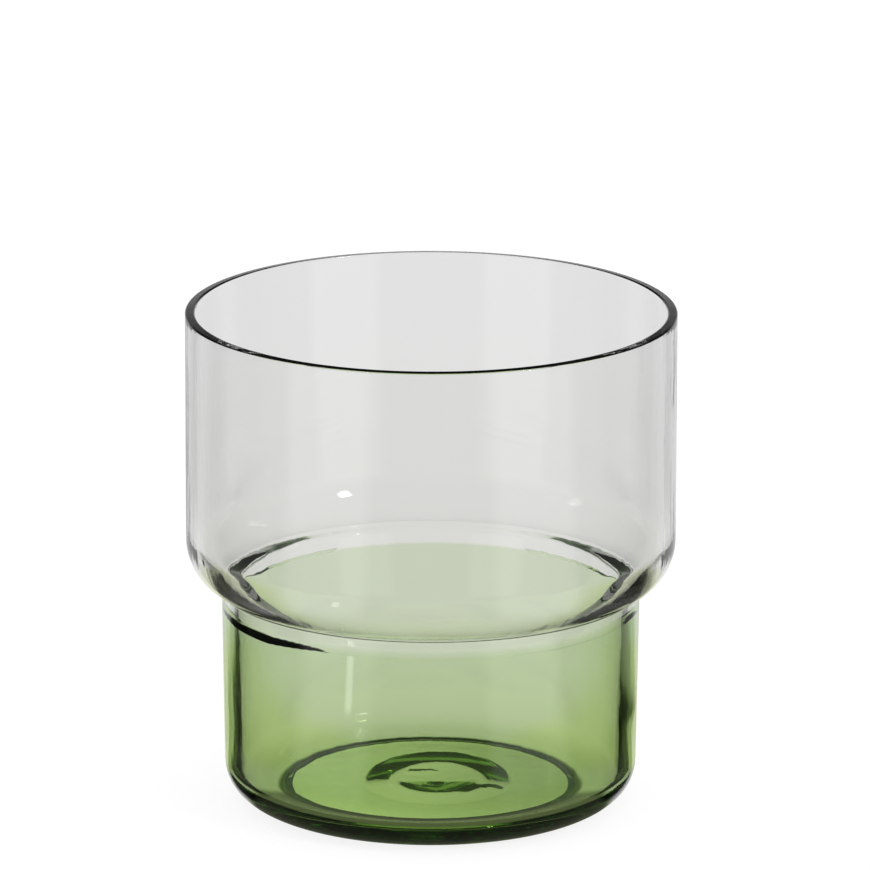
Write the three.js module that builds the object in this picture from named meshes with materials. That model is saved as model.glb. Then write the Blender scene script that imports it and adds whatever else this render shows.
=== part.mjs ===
// A stacking tumbler: a clear bowl fused to a green cup in a ring just under the bowl's shoulder.
// Millimetres, +Z up. The origin is on the table, in the middle of the standing ring.
import * as THREE from "three";

// Bowl: outside
const BOWL_RADIUS = 42.5;
const HEIGHT = 87.5;
const SHOULDER_RADIUS = 8.9; // round under the bowl's side
const SHOULDER_SLOPE = 21; // degrees from level, where the shoulder's round turns into the neck's
const NECK_ROUND = 0.85; // inside corner where the shoulder meets the neck

// Cup: outside
const NECK_RADIUS = 36.3;
const NECK_HEIGHT = 38; // where the neck stops being straight
const JOIN_HEIGHT = 35.3; // the fused ring, where green turns to clear
const JOIN_RISE = 1.2; // how much higher the ring is on the inside
const CUP_TAPER = 0.45; // how much narrower it is just above the heel
const HEEL_RUN = 9; // how far the heel's round reaches in
const HEEL_RISE = 7.6; // how far it reaches up
const HEEL_FULLNESS = 2.2; // 2 is an ellipse, more is squarer

// Glass thickness
const RIM_WALL = 1.7;
const RIM_EDGE = 0.45; // rounded edges of the flat rim
const BOWL_WALL = 1.9; // at the top of the shoulder
const NECK_WALL = 2.9; // through the neck and the join
const CUP_WALL = 2.9; // just above the floor
const FLOOR_THICKNESS = 3.5;

// Inside
const INNER_SHOULDER_RADIUS = 8.6;
const INNER_SLOPE = 30; // degrees from level, between the shoulder's round and the neck's edge
const INNER_EDGE = 1.2; // rounded edge at the top of the neck
const FLOOR_RISE = 6; // height of the corner between the wall and the floor
const FLOOR_FULLNESS = 6;

// Underside: a shallow recess with a groove round it, and a round ridge with a nub in the middle
const STANDING_RING = 1.05; // width of the ring that the glass stands on
const RECESS_DEPTH = 0.5;
const GROOVE_WIDTH = 1.6;
const GROOVE_DEPTH = 1.2;
const RIDGE_RADIUS = 12.8;
const RIDGE_TOP_RADIUS = 8.2;
const RIDGE_RISE = 1.1;
const NUB_RADIUS = 7.1;

// How finely the round surfaces are cut
const SIDES = 60;
const SHOULDER_STEPS = 6;
const CORNER_STEPS = 3;
const RIM_STEPS = 3;
const HEEL_STEPS = 6;
const FLOOR_STEPS = 7;
const GROOVE_STEPS = 4;

const point = (radius, height) => new THREE.Vector2(radius, height);

// Points of an arc, its angles in degrees from level outwards.
function arc(centre, radius, from, to, steps) {
  const points = [];
  for (let i = 0; i <= steps; i++) {
    const angle = THREE.MathUtils.degToRad(from + ((to - from) * i) / steps);
    points.push(point(centre.x + radius * Math.cos(angle), centre.y + radius * Math.sin(angle)));
  }
  return points;
}

// Outside of the shoulder: the neck's hollow corner and the shoulder's round, which meet on a slope.
const slope = THREE.MathUtils.degToRad(SHOULDER_SLOPE);
const overhang = BOWL_RADIUS - NECK_RADIUS;
const shoulderRadius = Math.min(SHOULDER_RADIUS, overhang / (1 - Math.sin(slope)) - NECK_ROUND);
const rounds = shoulderRadius + NECK_ROUND;
const slopeRun = overhang - rounds * (1 - Math.sin(slope));
const neckCentre = point(NECK_RADIUS + NECK_ROUND, NECK_HEIGHT);
const shoulderCentre = point(
  BOWL_RADIUS - shoulderRadius,
  NECK_HEIGHT + rounds * Math.cos(slope) + slopeRun * Math.tan(slope),
);

function outerShoulder() {
  const turn = 90 + SHOULDER_SLOPE;
  return [
    ...arc(neckCentre, NECK_ROUND, 180, turn, CORNER_STEPS),
    ...arc(shoulderCentre, shoulderRadius, turn - 180, 0, SHOULDER_STEPS),
  ];
}

// Inside of the shoulder: a round that runs down a steeper slope to the rounded edge over the neck.
const innerSlope = THREE.MathUtils.degToRad(INNER_SLOPE);
const edgeCentre = point(NECK_RADIUS - NECK_WALL + INNER_EDGE, NECK_HEIGHT);
const bowlInside = BOWL_RADIUS - BOWL_WALL;
const ledge = bowlInside - edgeCentre.x + INNER_EDGE * Math.sin(innerSlope);
const innerRadius = Math.min(INNER_SHOULDER_RADIUS, ledge / (1 - Math.sin(innerSlope)));
const innerFoot = bowlInside - innerRadius * (1 - Math.sin(innerSlope)) - edgeCentre.x;
const innerCentre = point(
  bowlInside - innerRadius,
  NECK_HEIGHT + innerFoot * Math.tan(innerSlope) + INNER_EDGE / Math.cos(innerSlope)
    + innerRadius * Math.cos(innerSlope),
);

function innerShoulder() {
  const turn = 90 + INNER_SLOPE;
  return [
    ...arc(innerCentre, innerRadius, 0, turn - 180, SHOULDER_STEPS),
    ...arc(edgeCentre, INNER_EDGE, turn, 180, CORNER_STEPS),
  ];
}

// A round between level and upright, fuller than an ellipse, from its foot out and up to its top.
function fullRound(foot, run, rise, fullness, steps) {
  const points = [];
  for (let i = 0; i <= steps; i++) {
    const angle = (Math.PI / 2) * (i / steps);
    const out = run * Math.sin(angle) ** (2 / fullness);
    const up = rise * (1 - Math.cos(angle) ** (2 / fullness));
    points.push(point(foot.x + out, foot.y + up));
  }
  return points;
}

const cupRadius = NECK_RADIUS - CUP_TAPER;
const ringInside = cupRadius - HEEL_RUN - STANDING_RING;

// The recess from the middle out: nub, ridge, level ring and groove, down to the standing ring.
function underside() {
  const ridgeTop = RECESS_DEPTH + RIDGE_RISE;
  const points = [
    point(0, RECESS_DEPTH),
    point(NUB_RADIUS, ridgeTop),
    point(RIDGE_TOP_RADIUS, ridgeTop),
    point(RIDGE_RADIUS, RECESS_DEPTH),
  ];
  for (let i = 0; i <= GROOVE_STEPS; i++) {
    const share = i / GROOVE_STEPS;
    const radius = ringInside - GROOVE_WIDTH * (1 + Math.cos(Math.PI * share)) / 2;
    const height = RECESS_DEPTH * (1 - share) + GROOVE_DEPTH * Math.sin(Math.PI * share);
    points.push(point(radius, share < 1 ? height : 0));
  }
  return points;
}

// A piece of revolution about Z, from an outline of radius and height.
function turned(name, outline, look) {
  const geometry = new THREE.LatheGeometry(outline, SIDES);
  geometry.rotateX(Math.PI / 2);
  const mesh = new THREE.Mesh(geometry, new THREE.MeshStandardMaterial(look));
  mesh.name = name;
  return mesh;
}

const joinOutside = point(NECK_RADIUS, JOIN_HEIGHT);
const joinInside = point(NECK_RADIUS - NECK_WALL, JOIN_HEIGHT + JOIN_RISE);

// The clear bowl: neck, shoulder and side up the outside, over the rim, and back down the inside.
function clearBowl() {
  const rimOutside = point(BOWL_RADIUS - RIM_EDGE, HEIGHT - RIM_EDGE);
  const rimInside = point(BOWL_RADIUS - RIM_WALL + RIM_EDGE, HEIGHT - RIM_EDGE);
  const outline = [
    joinOutside,
    ...outerShoulder(),
    ...arc(rimOutside, RIM_EDGE, 0, 90, RIM_STEPS),
    ...arc(rimInside, RIM_EDGE, 90, 180, RIM_STEPS),
    ...innerShoulder(),
    joinInside,
    joinOutside,
  ];
  return turned("clear_bowl", outline, { color: 0xdfe2df, roughness: 0.03, metalness: 0 });
}

// The green cup: underside, heel and wall up the outside, across the join, and down the inside.
function greenCup() {
  const heelFoot = point(cupRadius - HEEL_RUN, 0);
  const floorMiddle = point(0, FLOOR_THICKNESS);
  const outline = [
    ...underside(),
    ...fullRound(heelFoot, HEEL_RUN, HEEL_RISE, HEEL_FULLNESS, HEEL_STEPS),
    joinOutside,
    joinInside,
    ...fullRound(floorMiddle, cupRadius - CUP_WALL, FLOOR_RISE, FLOOR_FULLNESS, FLOOR_STEPS).reverse(),
  ];
  return turned("green_cup", outline, { color: 0xabbd8f, roughness: 0.03, metalness: 0 });
}

const tumbler = new THREE.Group();
tumbler.name = "tumbler";
tumbler.add(greenCup(), clearBowl());

export default tumbler;
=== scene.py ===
import math

import bpy
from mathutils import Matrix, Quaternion, Vector


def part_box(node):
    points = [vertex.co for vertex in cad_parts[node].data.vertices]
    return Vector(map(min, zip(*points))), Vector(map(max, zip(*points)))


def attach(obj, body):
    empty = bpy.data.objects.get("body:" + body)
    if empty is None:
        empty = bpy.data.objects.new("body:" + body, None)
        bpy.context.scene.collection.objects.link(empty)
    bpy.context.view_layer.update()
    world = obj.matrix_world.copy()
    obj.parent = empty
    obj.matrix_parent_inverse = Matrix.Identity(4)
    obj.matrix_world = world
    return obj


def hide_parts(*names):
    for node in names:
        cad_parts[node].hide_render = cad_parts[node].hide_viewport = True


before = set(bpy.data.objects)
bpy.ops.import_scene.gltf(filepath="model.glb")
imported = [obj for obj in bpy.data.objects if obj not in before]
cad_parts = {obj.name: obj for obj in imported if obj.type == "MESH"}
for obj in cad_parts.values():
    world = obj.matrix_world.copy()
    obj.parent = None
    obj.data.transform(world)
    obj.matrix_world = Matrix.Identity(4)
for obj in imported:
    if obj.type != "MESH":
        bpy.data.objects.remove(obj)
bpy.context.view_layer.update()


# Green cup
# The lower half of the glass: a straight wall, a full round heel and a heavy floor, recessed underneath.
# One gather of green glass, blown in a mould, so its outside is true and its inside is a little uneven.

MM = 0.001
TURN_STEPS = 240
ROUND_STEPS = 24

cup_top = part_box("green_cup")[1]
neck_radius = cup_top.x
neck_wall = 2.9 * MM
join_rise = 1.2 * MM
join_height = cup_top.z - join_rise
join_step = 0.2 * MM
cup_radius = 35.85 * MM
cup_wall = 2.9 * MM
floor_height = 3.5 * MM
floor_rise = 6 * MM
floor_fullness = 6
heel_run = 9 * MM
heel_rise = 7.6 * MM
heel_fullness = 2.2
recess_radius = 25.8 * MM
recess_depth = 0.5 * MM
groove_width = 1.6 * MM
groove_depth = 1.2 * MM
level_radius = 18.6 * MM
nub_radius = 7.1 * MM
ridge_radius = 12.8 * MM
ridge_top_radius = 8.2 * MM
ridge_rise = 1.1 * MM
ridge_foot = 0.4 * MM
ridge_step = 0.5 * MM
ridge_offset = 1.3 * MM
ridge_stretch = 1.35


class Outline:
    """Half of a turned piece's section: one line of edges in the XZ plane, spun about Z at the end."""

    def __init__(self, name, radius, height):
        bpy.ops.object.select_all(action="DESELECT")
        bpy.ops.mesh.primitive_plane_add(size=MM)
        self.piece = bpy.context.object
        self.piece.name = name
        self.piece.data.name = name
        bpy.ops.object.mode_set(mode="EDIT")
        bpy.ops.mesh.merge(type="CENTER")
        bpy.ops.transform.translate(value=(radius, 0, height))
        self.tip = Vector((radius, 0, height))

    def line(self, radius, height, longest=1.5 * MM):
        """Carries the line straight on, in short steps, so that shading stays true beside a round."""
        end = Vector((radius, 0, height))
        steps = max(1, math.ceil((end - self.tip).length / longest))
        step = (end - self.tip) / steps
        for _ in range(steps):
            bpy.ops.mesh.extrude_region_move(TRANSFORM_OT_translate={"value": step})
        self.tip = end

    def arc(self, centre_radius, centre_height, turn, steps):
        """Carries the line round a centre by an angle in degrees, positive from outwards to upwards."""
        centre = Vector((centre_radius, 0, centre_height))
        angle = math.radians(turn)
        bpy.ops.mesh.spin(steps=steps, angle=angle, center=centre, axis=(0, 1, 0))
        self.tip = centre + Quaternion((0, -1, 0), angle) @ (self.tip - centre)

    def turned(self):
        bpy.ops.mesh.select_all(action="SELECT")
        bpy.ops.mesh.spin(steps=TURN_STEPS, angle=math.tau, center=(0, 0, 0), axis=(0, 0, 1))
        bpy.ops.mesh.select_all(action="SELECT")
        bpy.ops.mesh.remove_doubles(threshold=0.002 * MM)
        bpy.ops.mesh.normals_make_consistent(inside=False)
        bpy.ops.object.mode_set(mode="OBJECT")
        bpy.ops.object.shade_smooth_by_angle(angle=math.radians(40))
        return self.piece


outline = Outline("green_cup_glass", 0, recess_depth)
outline.line(nub_radius, recess_depth + ridge_rise, longest=ridge_step)
outline.line(ridge_top_radius, recess_depth + ridge_rise)
outline.line(ridge_radius, recess_depth, longest=ridge_step)
outline.line(ridge_radius + ridge_foot, recess_depth)
# One long step outside the ridge's foot, which takes up the ridge's stretch and shift.
outline.line(level_radius, recess_depth, longest=level_radius)
outline.line(recess_radius - groove_width, recess_depth)
for share in (0.1, 0.25, 0.5, 0.75, 0.9, 1.0):
    angle = math.pi * share
    radius = recess_radius - groove_width / 2 - groove_width / 2 * math.cos(angle)
    outline.line(radius, recess_depth * (1 - share) + groove_depth * math.sin(angle))
for step in range(ROUND_STEPS + 1):
    angle = math.pi / 2 * step / ROUND_STEPS
    run = heel_run * math.sin(angle) ** (2 / heel_fullness)
    rise = heel_rise * (1 - math.cos(angle) ** (2 / heel_fullness))
    outline.line(cup_radius - heel_run + run, rise)
outline.line(neck_radius, join_height)
outline.line(neck_radius - neck_wall, join_height + join_rise, longest=join_step)
inside_radius = cup_radius - cup_wall
for step in range(ROUND_STEPS + 1):
    angle = math.pi / 2 * (1 - step / ROUND_STEPS)
    rise = floor_rise * (1 - math.cos(angle) ** (2 / floor_fullness))
    outline.line(inside_radius * math.sin(angle) ** (2 / floor_fullness), floor_height + rise)
cup = outline.turned()


def choose(piece, wanted):
    """Selects a piece's points by place and leaves it in edit mode."""
    bpy.ops.object.mode_set(mode="EDIT")
    bpy.ops.mesh.select_all(action="DESELECT")
    bpy.ops.object.mode_set(mode="OBJECT")
    for point in piece.data.vertices:
        point.select = wanted(point.co)
    bpy.ops.object.mode_set(mode="EDIT")


def on_ridge(place):
    return place.z < floor_height / 2 and place.xy.length < ridge_radius + ridge_foot + 0.1 * MM


def push_up(first, last, height, reach):
    """Raises a soft welt in the ridge, along a line between two places in millimetres."""
    start = Vector(first) * MM
    line = Vector(last) * MM - start

    def on_line(place):
        share = min(1, max(0, (place.xy - start).dot(line) / line.length_squared))
        return on_ridge(place) and (place.xy - start - share * line).length < ridge_step

    choose(cup, on_line)
    bpy.ops.transform.translate(
        value=(0, 0, height),
        use_proportional_edit=True,
        use_proportional_connected=True,
        proportional_edit_falloff="SMOOTH",
        proportional_size=reach,
    )


# The ridge was pressed a little off the middle: it is longer towards the back and has two soft welts.
choose(cup, lambda place: on_ridge(place) and place.y > 0)
bpy.ops.transform.resize(value=(1, ridge_stretch, 1), center_override=(0, 0, 0))
push_up((-4.2, 4.6), (-1, 5), height=0.28 * MM, reach=1.5 * MM)
push_up((5.4, -8.6), (9.2, -4.6), height=0.5 * MM, reach=2.3 * MM)
ridge_reach = ridge_stretch * (ridge_radius + ridge_foot) + 0.06 * MM
choose(cup, lambda place: place.z < 0.7 * floor_height and place.xy.length < ridge_reach)
bpy.ops.transform.translate(value=(ridge_offset, 0, 0))
bpy.ops.object.mode_set(mode="OBJECT")


class Wire:
    """A socket in a material's nodes. Sums on it add Math nodes, and node() adds any other node."""

    def __init__(self, tree, socket=None):
        self.tree = tree
        self.socket = socket

    def node(self, kind, sockets, output=0, **settings):
        made = self.tree.nodes.new("ShaderNode" + kind)
        for name, value in settings.items():
            setattr(made, name, value)
        for name, value in sockets.items():
            if isinstance(value, Wire):
                self.tree.links.new(value.socket, made.inputs[name])
            else:
                made.inputs[name].default_value = value
        return Wire(self.tree, made.outputs[output]) if made.outputs else made

    def sum(self, operation, first, second):
        return self.node("Math", {0: first, 1: second}, operation=operation)

    def __add__(self, other):
        return self.sum("ADD", self, other)

    __radd__ = __add__

    def __mul__(self, other):
        return self.sum("MULTIPLY", self, other)

    __rmul__ = __mul__

    def __sub__(self, other):
        return self.sum("SUBTRACT", self, other)

    def __rsub__(self, other):
        return self.sum("SUBTRACT", other, self)


def glass_finish(name, pale, deep, deep_height, pale_height, absorbed=None):
    """Glass with faint upright cords and smears, a tint that deepens downwards, and its join's marks:
    see-through where fused, near-black painted shade along a crevice.
    """
    material = bpy.data.materials.new(name)
    material.use_nodes = True
    material.node_tree.nodes.clear()
    start = Wire(material.node_tree)
    place = start.node("TexCoord", {}, "Object")
    streaks = start.node("Mapping", {"Vector": place, "Scale": (1, 1, 0.15)})
    cord = start.node("TexNoise", {"Vector": streaks, "Scale": 120, "Detail": 3}, "Fac")
    smear = start.node("TexNoise", {"Vector": place, "Scale": 45, "Detail": 4}, "Fac")
    height = start.node("SeparateXYZ", {"Vector": place}, "Z")
    depth = start.node(
        "MapRange",
        {"Value": height, "From Min": deep_height, "From Max": pale_height, "To Min": 0.9, "To Max": 0},
    )
    tint = start.node("Mix", {"Factor": depth + 0.1 * cord, 6: pale, 7: deep}, 2, data_type="RGBA")
    waves = start.node("Bump", {"Height": cord + smear, "Strength": 0.12, "Distance": 0.4 * MM})
    glass = start.node(
        "BsdfPrincipled",
        {
            "Base Color": tint,
            "Normal": waves,
            "Roughness": 0.008 * smear,
            "IOR": 1.51,
            "Transmission Weight": 1,
        },
    )
    clear = start.node("BsdfTransparent", {})
    joined = start.node("Attribute", {}, "Fac", attribute_name="join")
    surface = start.node("MixShader", {0: joined, 1: glass, 2: clear})
    # Along a crevice the join's face gets near-black painted shade.
    painted_crevice_shade = start.node("BsdfDiffuse", {"Color": (0.012, 0.02, 0.008, 1)})
    crevice_shade_share = start.node("Attribute", {}, "Fac", attribute_name="crevice")
    surface = start.node("MixShader", {0: crevice_shade_share, 1: surface, 2: painted_crevice_shade})
    parts = {"Surface": surface}
    if absorbed:
        colour, density = absorbed
        parts["Volume"] = start.node("VolumeAbsorption", {"Color": colour, "Density": density})
    start.node("OutputMaterial", parts)
    return material


# Bearings are in degrees from the front, positive to the left. A crevice, a stretch of the join whose face
# gets near-black painted shade, has its two ends and its depth as a share of the wall, and the clean seams
# lie at both sides, behind.
left_crevice = (30, 82, 0.75)
right_crevice = (-80, -66, 0.5)
crevice_edge = 0.08
seam_ends = (90, 150)
sag_ends = (34, 84)
sag_inset = 3
sag_steps = 6
sag = 0.15 * MM
touch = 0.01 * MM


def bearing_from_front(place):
    return math.degrees(math.atan2(-place.x, -place.y))


def crevice(bearing, first, last, deepest):
    """How far a crevice's painted shade reaches in from the join's outside at a bearing, as a share of the
    wall.
    """
    share = (bearing - first) / (last - first)
    return deepest * math.sin(math.pi * share) ** 0.7 if 0 < share < 1 else 0.0


def below_join(place, height):
    """How far a place lies below the join, a shallow cone that climbs inwards from a height."""
    return height + join_rise * (neck_radius - place.xy.length) / neck_wall - place.z


def mark_join(piece, height):
    """Marks where the join is fused and where a crevice takes near-black painted shade. The clean seams get
    no mark.
    """
    for name in ("join", "crevice"):
        piece.data.attributes.new(name, "FLOAT", "CORNER")
    mark, crevice_shade_mark = (piece.data.attributes[name] for name in ("join", "crevice"))
    on_join = []
    fused = []
    for point in piece.data.vertices:
        share = (neck_radius - point.co.xy.length) / neck_wall
        bearing = bearing_from_front(point.co)
        crevice_shade_share = max(crevice(bearing, *left_crevice), crevice(bearing, *right_crevice))
        on_join.append(abs(below_join(point.co, height)) < touch)
        fused.append(min(1.0, max(0.0, (share - crevice_shade_share) / crevice_edge)) if crevice_shade_share else 1.0)
    for face in piece.data.polygons:
        in_seam = seam_ends[0] < abs(bearing_from_front(face.center)) < seam_ends[1]
        if not in_seam and all(on_join[i] for i in face.vertices):
            for corner in face.loop_indices:
                share = fused[piece.data.loops[corner].vertex_index]
                mark.data[corner].value = share
                crevice_shade_mark.data[corner].value = 1 - share


def sag_join(piece, height):
    """Lets the join sag along the left crevice, a little further towards its middle."""
    for step in range(sag_steps):
        first = sag_ends[0] + sag_inset * step
        last = sag_ends[1] - sag_inset * step

        def sagging(place):
            drop = below_join(place, height)
            return first < bearing_from_front(place) < last and -touch < drop < step * sag + touch

        choose(piece, sagging)
        bpy.ops.transform.translate(value=(0, 0, -sag))
    bpy.ops.object.mode_set(mode="OBJECT")


mark_join(cup, join_height)
sag_join(cup, join_height)
cup.data.materials.append(
    glass_finish(
        "green_glass",
        pale=(1, 1, 1, 1),
        deep=(0.9, 0.94, 0.76, 1),
        deep_height=3 * MM,
        pale_height=18 * MM,
        absorbed=((0.62, 0.775, 0.4, 1), 190),
    )
)
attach(cup, "root")
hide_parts("green_cup")


# Clear bowl
# The upper half: a short neck, a round shoulder, a straight side and a fire-polished rim.
# Clear glass, blown in the same mould and fused hot to the cup along a ring under the shoulder.

bowl_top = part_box("clear_bowl")[1]
bowl_radius = bowl_top.x
bowl_height = bowl_top.z
bowl_wall = 1.9 * MM
rim_wall = 1.7 * MM
rim_edge = 0.3 * MM
rim_slope = 5
rim_steps = 10
neck_height = 38 * MM
neck_round = 0.85 * MM
neck_steps = 8
shoulder_radius = 8.9 * MM
shoulder_slope = 21
inner_shoulder_radius = 9.3 * MM
inner_slope = 30
inner_edge = 1.2 * MM
inner_edge_steps = 12
join_gap = 0.02 * MM


def on_arc(centre, radius, degrees):
    angle = math.radians(degrees)
    return centre[0] + radius * math.cos(angle), centre[1] + radius * math.sin(angle)


slope = math.radians(shoulder_slope)
rounds = shoulder_radius + neck_round
slope_run = bowl_radius - neck_radius - rounds * (1 - math.sin(slope))
neck_centre = (neck_radius + neck_round, neck_height)
shoulder_centre = (
    bowl_radius - shoulder_radius,
    neck_height + rounds * math.cos(slope) + slope_run * math.tan(slope),
)
outline = Outline("clear_bowl_glass", neck_radius, join_height + join_gap)
outline.line(*on_arc(neck_centre, neck_round, 180))
outline.arc(*neck_centre, shoulder_slope - 90, neck_steps)
outline.line(*on_arc(shoulder_centre, shoulder_radius, shoulder_slope - 90))
outline.arc(*shoulder_centre, 90 - shoulder_slope, ROUND_STEPS)

rim_drop = (rim_wall - 2 * rim_edge) * math.tan(math.radians(rim_slope))
rim_outside = (bowl_radius - rim_edge, bowl_height - rim_edge - rim_drop)
rim_inside = (bowl_radius - rim_wall + rim_edge, bowl_height - rim_edge)
outline.line(*on_arc(rim_outside, rim_edge, 0))
outline.arc(*rim_outside, 90 - rim_slope, rim_steps)
outline.line(*on_arc(rim_inside, rim_edge, 90 - rim_slope), longest=0.2 * MM)
outline.arc(*rim_inside, 90 + rim_slope, rim_steps)

slope = math.radians(inner_slope)
edge_centre = (neck_radius - neck_wall + inner_edge, neck_height)
slope_foot = bowl_radius - bowl_wall - inner_shoulder_radius * (1 - math.sin(slope))
inner_centre = (
    bowl_radius - bowl_wall - inner_shoulder_radius,
    neck_height
    + (slope_foot - edge_centre[0]) * math.tan(slope)
    + inner_edge / math.cos(slope)
    + inner_shoulder_radius * math.cos(slope),
)
outline.line(*on_arc(inner_centre, inner_shoulder_radius, 0))
outline.arc(*inner_centre, inner_slope - 90, ROUND_STEPS)
outline.line(*on_arc(edge_centre, inner_edge, 90 + inner_slope))
outline.arc(*edge_centre, 90 - inner_slope, inner_edge_steps)
outline.line(neck_radius - neck_wall, join_height + join_rise + join_gap)
outline.line(neck_radius, join_height + join_gap, longest=join_step)
bowl = outline.turned()
mark_join(bowl, join_height + join_gap)
sag_join(bowl, join_height + join_gap)
bowl.data.materials.append(
    glass_finish(
        "clear_glass",
        pale=(1, 1, 1, 1),
        deep=(0.985, 0.985, 0.965, 1),
        deep_height=36 * MM,
        pale_height=88 * MM,
    )
)
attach(bowl, "root")
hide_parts("clear_bowl")


# Floor
# A sheet of pale paper that the glass stands on, white to the eye. Light that the glass has bent finds
# painted shade on the flanks and front, with two painted bright panels, which give the glass its dark and
# pale bands.

WHITE = (1, 1, 1, 1)

floor_side = 6
paper_grey = 0.25
paper_glow = 0.85
# The colour of a painted green cast, as of light come through the green glass.
painted_green_cast_tone = (0.95, 1, 0.72, 1)

bpy.ops.object.select_all(action="DESELECT")
bpy.ops.mesh.primitive_plane_add(size=floor_side)
floor = bpy.context.object
floor.name = "floor"
paper = bpy.data.materials.new("floor_paper_with_painted_light")
paper.use_nodes = True
paper.node_tree.nodes.clear()
start = Wire(paper.node_tree)


def ramp(value, low, high, first=0.0, last=1.0):
    return value.node(
        "MapRange",
        {"Value": value, "From Min": low, "From Max": high, "To Min": first, "To Max": last},
        interpolation_type="SMOOTHSTEP",
    )


def between(value, low, high, soft):
    return ramp(value, low - soft, low + soft) * ramp(value, high - soft, high + soft, 1, 0)


def bearing_of(place):
    """Angle round the glass in degrees: 0 behind it, 90 to the right, 180 in front."""
    across = place.node("SeparateXYZ", {"Vector": place}, "X")
    behind = place.node("SeparateXYZ", {"Vector": place}, "Y")
    return place.node("Math", {0: across, 1: behind}, operation="ARCTAN2") * math.degrees(1)


def mixed_tone(start, share, second):
    return start.node("Mix", {"Factor": share, 6: WHITE, 7: second}, 2, data_type="RGBA")


# Places on the floor are in millimetres from the middle of the glass.
seen = start.node("LightPath", {}, "Is Camera Ray")
place = start.node("TexCoord", {}, "Object")
reach = start.node("VectorMath", {0: place}, "Value", operation="LENGTH") * (1 / MM)
across = start.node("SeparateXYZ", {"Vector": place}, "X") * (1 / MM)
behind = start.node("SeparateXYZ", {"Vector": place}, "Y") * (1 / MM)
bearing = bearing_of(place)
turn = start.node("Math", {0: bearing}, operation="ABSOLUTE")
away = ramp(reach, 50, 70)
far = ramp(reach, 150, 220)
front = ramp(turn, 100, 112)

# Light that no face turned back, after three passes, or two far from the glass, has gone straight through.
turned_back = start.node("LightPath", {}, "Glossy Depth")
passes = start.node("LightPath", {}, "Transmission Depth")
near_bent = 1 - ramp(passes, 2, 3) * ramp(reach, 45, 60)
far_bent = 1 - ramp(passes, 1, 2) * ramp(reach, 170, 230)
bent = 1 - ramp(turned_back, 0, 1, 1, 0) * (1 - near_bent * far_bent)

# The painted shade on the flanks, each with a slanting edge beside the glass.
flank_slant = 0.357
outer = ramp(reach, 140, 165, 1, 0)
flare = ramp(behind, 15, 40, 6, 0)
left_edge = -1 * across - flank_slant * behind - 48.5 + flare
right_edge = across - flank_slant * behind - 49.5 + ramp(behind, 30, 56, 0, 14) + flare
left = ramp(left_edge, -6, -3) * (1 - 0.15 * ramp(left_edge, 7, 12) * ramp(behind, 40, 50, 1, 0))
right = ramp(right_edge, -6, -3) * ramp(behind, 44, 56, 0.95, 0.65)
shade = outer * (0.96 * left * between(bearing, -112, -49, 5) + right * between(bearing, 43, 112, 4))

# The sheet's painted level: brightest straight behind, with painted shade at the sides and in front, and
# the two painted bright panels.
painted_bright_panels = between(turn, 114, 152, 4)
painted_sheet_level = 0.81 - 0.15 * ramp(turn, 10, 26) * far - 0.1 * between(turn, 33, 44, 4) * far
painted_sheet_level = painted_sheet_level - bent * away * (0.6 - 0.12 * far) * ramp(turn, 46, 72) * (1 - front)
painted_sheet_level = painted_sheet_level - bent * ((0.66 - 0.15 * far) * front - 0.5 * away * painted_bright_panels)
# A painted shadow on the paper inside the glass's standing ring.
painted_foot_shadow = ramp(reach, 26.2, 27.2, 0.06, 1)
# A painted caustic: a thin bright streak in front at the left, seen in light that has not passed into the
# glass.
caustic = between(bearing, -142.5, -139.5, 0.8) * between(reach, 108, 150, 4) * ramp(passes, 0, 1, 1, 0)
level = painted_sheet_level * (1 - bent * shade) * painted_foot_shadow + 3 * caustic

# Where the painted green cast lies: beside the glass, and under it and just in front.
painted_cast_beside = between(turn, 30, 75, 8) * ramp(reach, 100, 130, 1, 0)
painted_cast_under = ramp(reach, 26.2, 27.2, 1, 0) + ramp(reach, 40, 70, 1, 0) * front
# The emission that the glass sees on the paper carries all of this painted light and shade.
painted_floor_light = start.node("Emission", {"Color": mixed_tone(start, painted_cast_beside + painted_cast_under, painted_green_cast_tone), "Strength": level})
matt = start.node("BsdfDiffuse", {"Color": (paper_grey, paper_grey, paper_grey, 1)})
glow = start.node("Emission", {"Color": WHITE, "Strength": paper_glow})
lit = start.node("AddShader", {0: matt, 1: glow})
start.node("OutputMaterial", {"Surface": start.node("MixShader", {0: seen, 1: painted_floor_light, 2: lit})})
floor.data.materials.append(paper)


# Light under the base
# The light that the green glass gathers and drops on the paper inside its standing ring.
# A thin glowing disc in the recess, brighter at the left and in front, that only the glass shows.

gathered_radius = 24.3 * MM
gathered_height = 0.35 * MM

bpy.ops.object.select_all(action="DESELECT")
bpy.ops.mesh.primitive_circle_add(
    vertices=96, radius=gathered_radius, fill_type="NGON", location=(0, 0, gathered_height)
)
gathered = bpy.context.object
gathered.name = "light_under_the_base"
gathered.visible_camera = False
gathered.visible_diffuse = False
gathered.visible_shadow = False
tinted = bpy.data.materials.new("light_through_the_base")
tinted.use_nodes = True
tinted.node_tree.nodes.clear()
start = Wire(tinted.node_tree)
place = start.node("TexCoord", {}, "Object")
across = start.node("SeparateXYZ", {"Vector": place}, "X") * (1 / MM)
behind = start.node("SeparateXYZ", {"Vector": place}, "Y") * (1 / MM)
strength = ramp(across, -22, 22, 1.08, 0.72) * ramp(behind, -20, -4, 1.16, 1)
glow = start.node("Emission", {"Color": (0.68, 0.78, 0.5, 1), "Strength": strength})
start.node("OutputMaterial", {"Surface": glow})
gathered.data.materials.append(tinted)


# Surround
# The studio round the glass: white to the eye, bright low down behind the glass, and dark overhead and in
# front. Light trapped in the thick glass finds its dark part tinted green.

trapped_tone = (0.6, 1, 0.25, 1)
straight_level = 0.65
diffuse_level = 0.8

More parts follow.
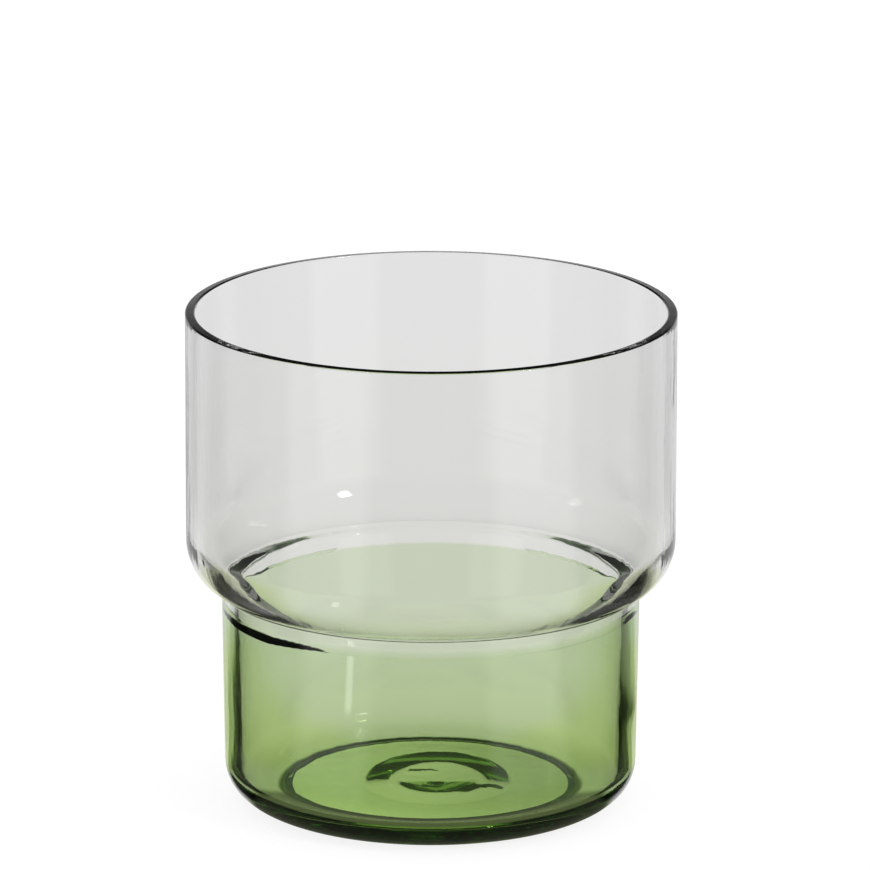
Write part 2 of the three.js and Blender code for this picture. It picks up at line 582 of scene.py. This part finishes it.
world = bpy.data.worlds.new("studio")
bpy.context.scene.world = world
world.use_nodes = True
world.node_tree.nodes.clear()
start = Wire(world.node_tree)
seen = start.node("LightPath", {}, "Is Camera Ray")
diffuse = start.node("LightPath", {}, "Is Diffuse Ray")
turned_back = start.node("LightPath", {}, "Glossy Depth")
passes = start.node("LightPath", {}, "Transmission Depth")
toward = start.node("TexCoord", {}, "Generated")
up = start.node("SeparateXYZ", {"Vector": toward}, "Z")
turn = start.node("Math", {0: bearing_of(toward)}, operation="ABSOLUTE")
through = ramp(passes, 2, 3)
straight = ramp(turned_back, 0, 1, 1, 0) * through
surround = 0.03 + ramp(up, 0.04, 0.4, 1, 0) * (0.72 - 0.6 * ramp(turn, 26, 40))
surround = surround + straight * (straight_level - surround)
dark = ramp(surround, 0.15, 0.45, 1, 0)
trapped = ramp(turned_back, 0, 1) * through * dark * (1 - diffuse)
surround = surround * (1 + 0.4 * trapped)
level = surround + diffuse * (diffuse_level - surround)
shown = start.node(
    "Background",
    {"Color": mixed_tone(start, trapped, trapped_tone), "Strength": level + seen * (1 - level)},
)
start.node("OutputWorld", {"Surface": shown})


# Lamps
# Two narrow soft lamps in front of the glass, a strong one high at the right and a weak one at the left.
# They give the small bright spots on the bowl and the cup, and each is aimed at the glass's middle.

lamp_aim = Vector((0, 0, 0.04))
for name, place, width, height, power in (
    ("lamp_right", (0.8, -0.7, 0.7), 0.1, 0.3, 2),
    ("lamp_left", (-1.1, -0.15, 0.45), 0.08, 0.3, 0.15),
):
    bpy.ops.object.light_add(type="AREA", location=place)
    lamp = bpy.context.object
    lamp.name = name
    lamp.data.shape = "RECTANGLE"
    lamp.data.size = width
    lamp.data.size_y = height
    lamp.data.energy = power
    lamp.rotation_mode = "QUATERNION"
    lamp.rotation_quaternion = (lamp_aim - lamp.location).to_track_quat("-Z", "Y")


# Camera
# A long lens a little above the rim, as far off as a product photographer stands.
# Its focal length and the place of the glass in the picture are in pixels of a square picture.

PICTURE_SIDE = 870
PICTURE_FOCAL = 9211
GLASS_AT = (430.9, 552.7)
SENSOR = 36
BOUNCES = 32

glass_middle = Vector((0, 0, 44 * MM))
camera_distance = 1.6
camera_rise = math.radians(16.04)
camera_roll = math.radians(0.133)
bpy.ops.object.camera_add()
camera = bpy.context.object
camera.data.sensor_width = SENSOR
camera.data.lens = SENSOR * PICTURE_FOCAL / PICTURE_SIDE
camera.data.clip_end = 20
camera.location = glass_middle + camera_distance * Vector(
    (0, -math.cos(camera_rise), math.sin(camera_rise))
)
tilt = camera_rise - math.atan((GLASS_AT[1] - PICTURE_SIDE / 2) / PICTURE_FOCAL)
swing = math.atan((PICTURE_SIDE / 2 - GLASS_AT[0]) / PICTURE_FOCAL)
gaze = Vector(
    (math.sin(swing) * math.cos(tilt), math.cos(swing) * math.cos(tilt), -math.sin(tilt))
)
camera.rotation_mode = "QUATERNION"
camera.rotation_quaternion = gaze.to_track_quat("-Z", "Y") @ Quaternion((0, 0, 1), camera_roll)
scene = bpy.context.scene
scene.camera = camera
scene.view_settings.view_transform = "Standard"
scene.cycles.max_bounces = BOUNCES
scene.cycles.transmission_bounces = BOUNCES
scene.cycles.glossy_bounces = BOUNCES // 2
scene.cycles.transparent_max_bounces = BOUNCES
